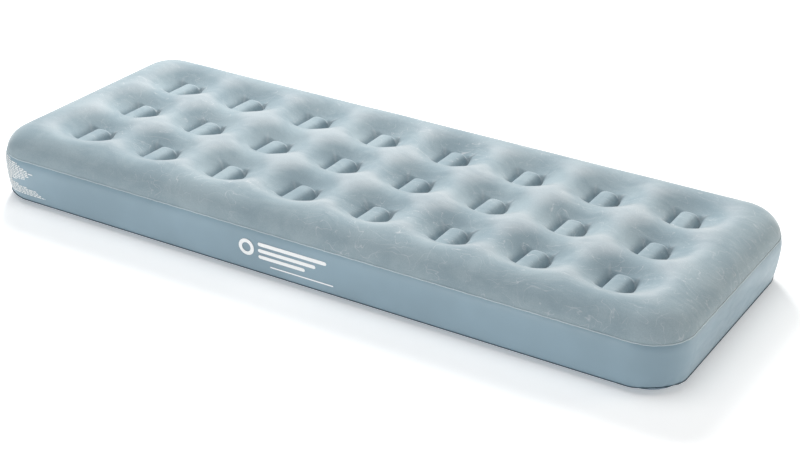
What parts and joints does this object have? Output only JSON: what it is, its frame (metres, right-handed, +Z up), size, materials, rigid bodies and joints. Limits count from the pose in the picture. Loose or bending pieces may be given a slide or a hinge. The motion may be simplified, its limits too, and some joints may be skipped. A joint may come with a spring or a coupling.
{
  "type": "air mattress",
  "caption": "Single inflatable camping mattress with a flocked dimpled top, smooth vinyl side wall, welded inner coil tubes and a screw-in valve recessed in one end wall.",
  "frame": {"origin": "on the floor, under the middle of the mattress", "axes": "+X along the length away from the valve's end, +Y across the width, +Z up from the floor to the sleeping surface"},
  "size_m": [1.88, 0.74, 0.19],
  "materials": {
    "flocked_top": "matte",
    "wall_vinyl": "satin",
    "base_vinyl": "satin",
    "coil_vinyl": "satin",
    "valve_base_plastic": "satin",
    "valve_core_plastic": "satin",
    "cap_plastic": "satin",
    "seal_rubber": "matte",
    "flap_silicone": "satin",
    "pin_plastic": "gloss"
  },
  "bodies": {
    "mattress": {"top_sheet": "flocked_top", "side_wall": "wall_vinyl", "bottom_sheet": "base_vinyl", "coil_r1c1": "coil_vinyl", "coil_r1c2": "coil_vinyl", "coil_r1c3": "coil_vinyl", "coil_r1c4": "coil_vinyl", "coil_r1c5": "coil_vinyl", "coil_r1c6": "coil_vinyl", "coil_r1c7": "coil_vinyl", "coil_r1c8": "coil_vinyl", "coil_r2c1": "coil_vinyl", "coil_r2c2": "coil_vinyl", "coil_r2c3": "coil_vinyl", "coil_r2c4": "coil_vinyl", "coil_r2c5": "coil_vinyl", "coil_r2c6": "coil_vinyl", "coil_r2c7": "coil_vinyl", "coil_r2c8": "coil_vinyl", "coil_r3c1": "coil_vinyl", "coil_r3c2": "coil_vinyl", "coil_r3c3": "coil_vinyl", "coil_r3c4": "coil_vinyl", "coil_r3c5": "coil_vinyl", "coil_r3c6": "coil_vinyl", "coil_r3c7": "coil_vinyl", "coil_r3c8": "coil_vinyl", "valve_base": "valve_base_plastic"},
    "strap": {"cap_strap": "cap_plastic"},
    "core": {"valve_core": "valve_core_plastic", "core_gasket": "seal_rubber", "flap_pin": "pin_plastic"},
    "flap": {"check_flap": "flap_silicone"},
    "cap": {"valve_cap": "cap_plastic"}
  },
  "joints": [
    {"name": "core_lift", "type": "slide", "parent": "mattress", "child": "strap", "axis": [-1, 0, 0], "range_m": [0, 0.01]},
    {"name": "core_turn", "type": "hinge", "parent": "strap", "child": "core", "pos_m": [-0.9383, -0.15, 0.0705], "axis": [-1, 0, 0], "range_deg": [0, 900]},
    {"name": "cap_swing", "type": "hinge", "parent": "strap", "child": "cap", "pos_m": [-0.93345, -0.15, 0.0455], "axis": [0, -1, 0], "range_deg": [0, 110]},
    {"name": "flap_swing", "type": "hinge", "parent": "core", "child": "flap", "pos_m": [-0.91425, -0.15, 0.082], "axis": [0, -1, 0], "range_deg": [0, 52], "stiffness_Nm_per_rad": 0.0002, "springref_deg": -10}
  ],
  "couplings": [
    {"joint": "core_lift", "follows": "core_turn", "m_per_rad": 0.00063662}
  ]
}
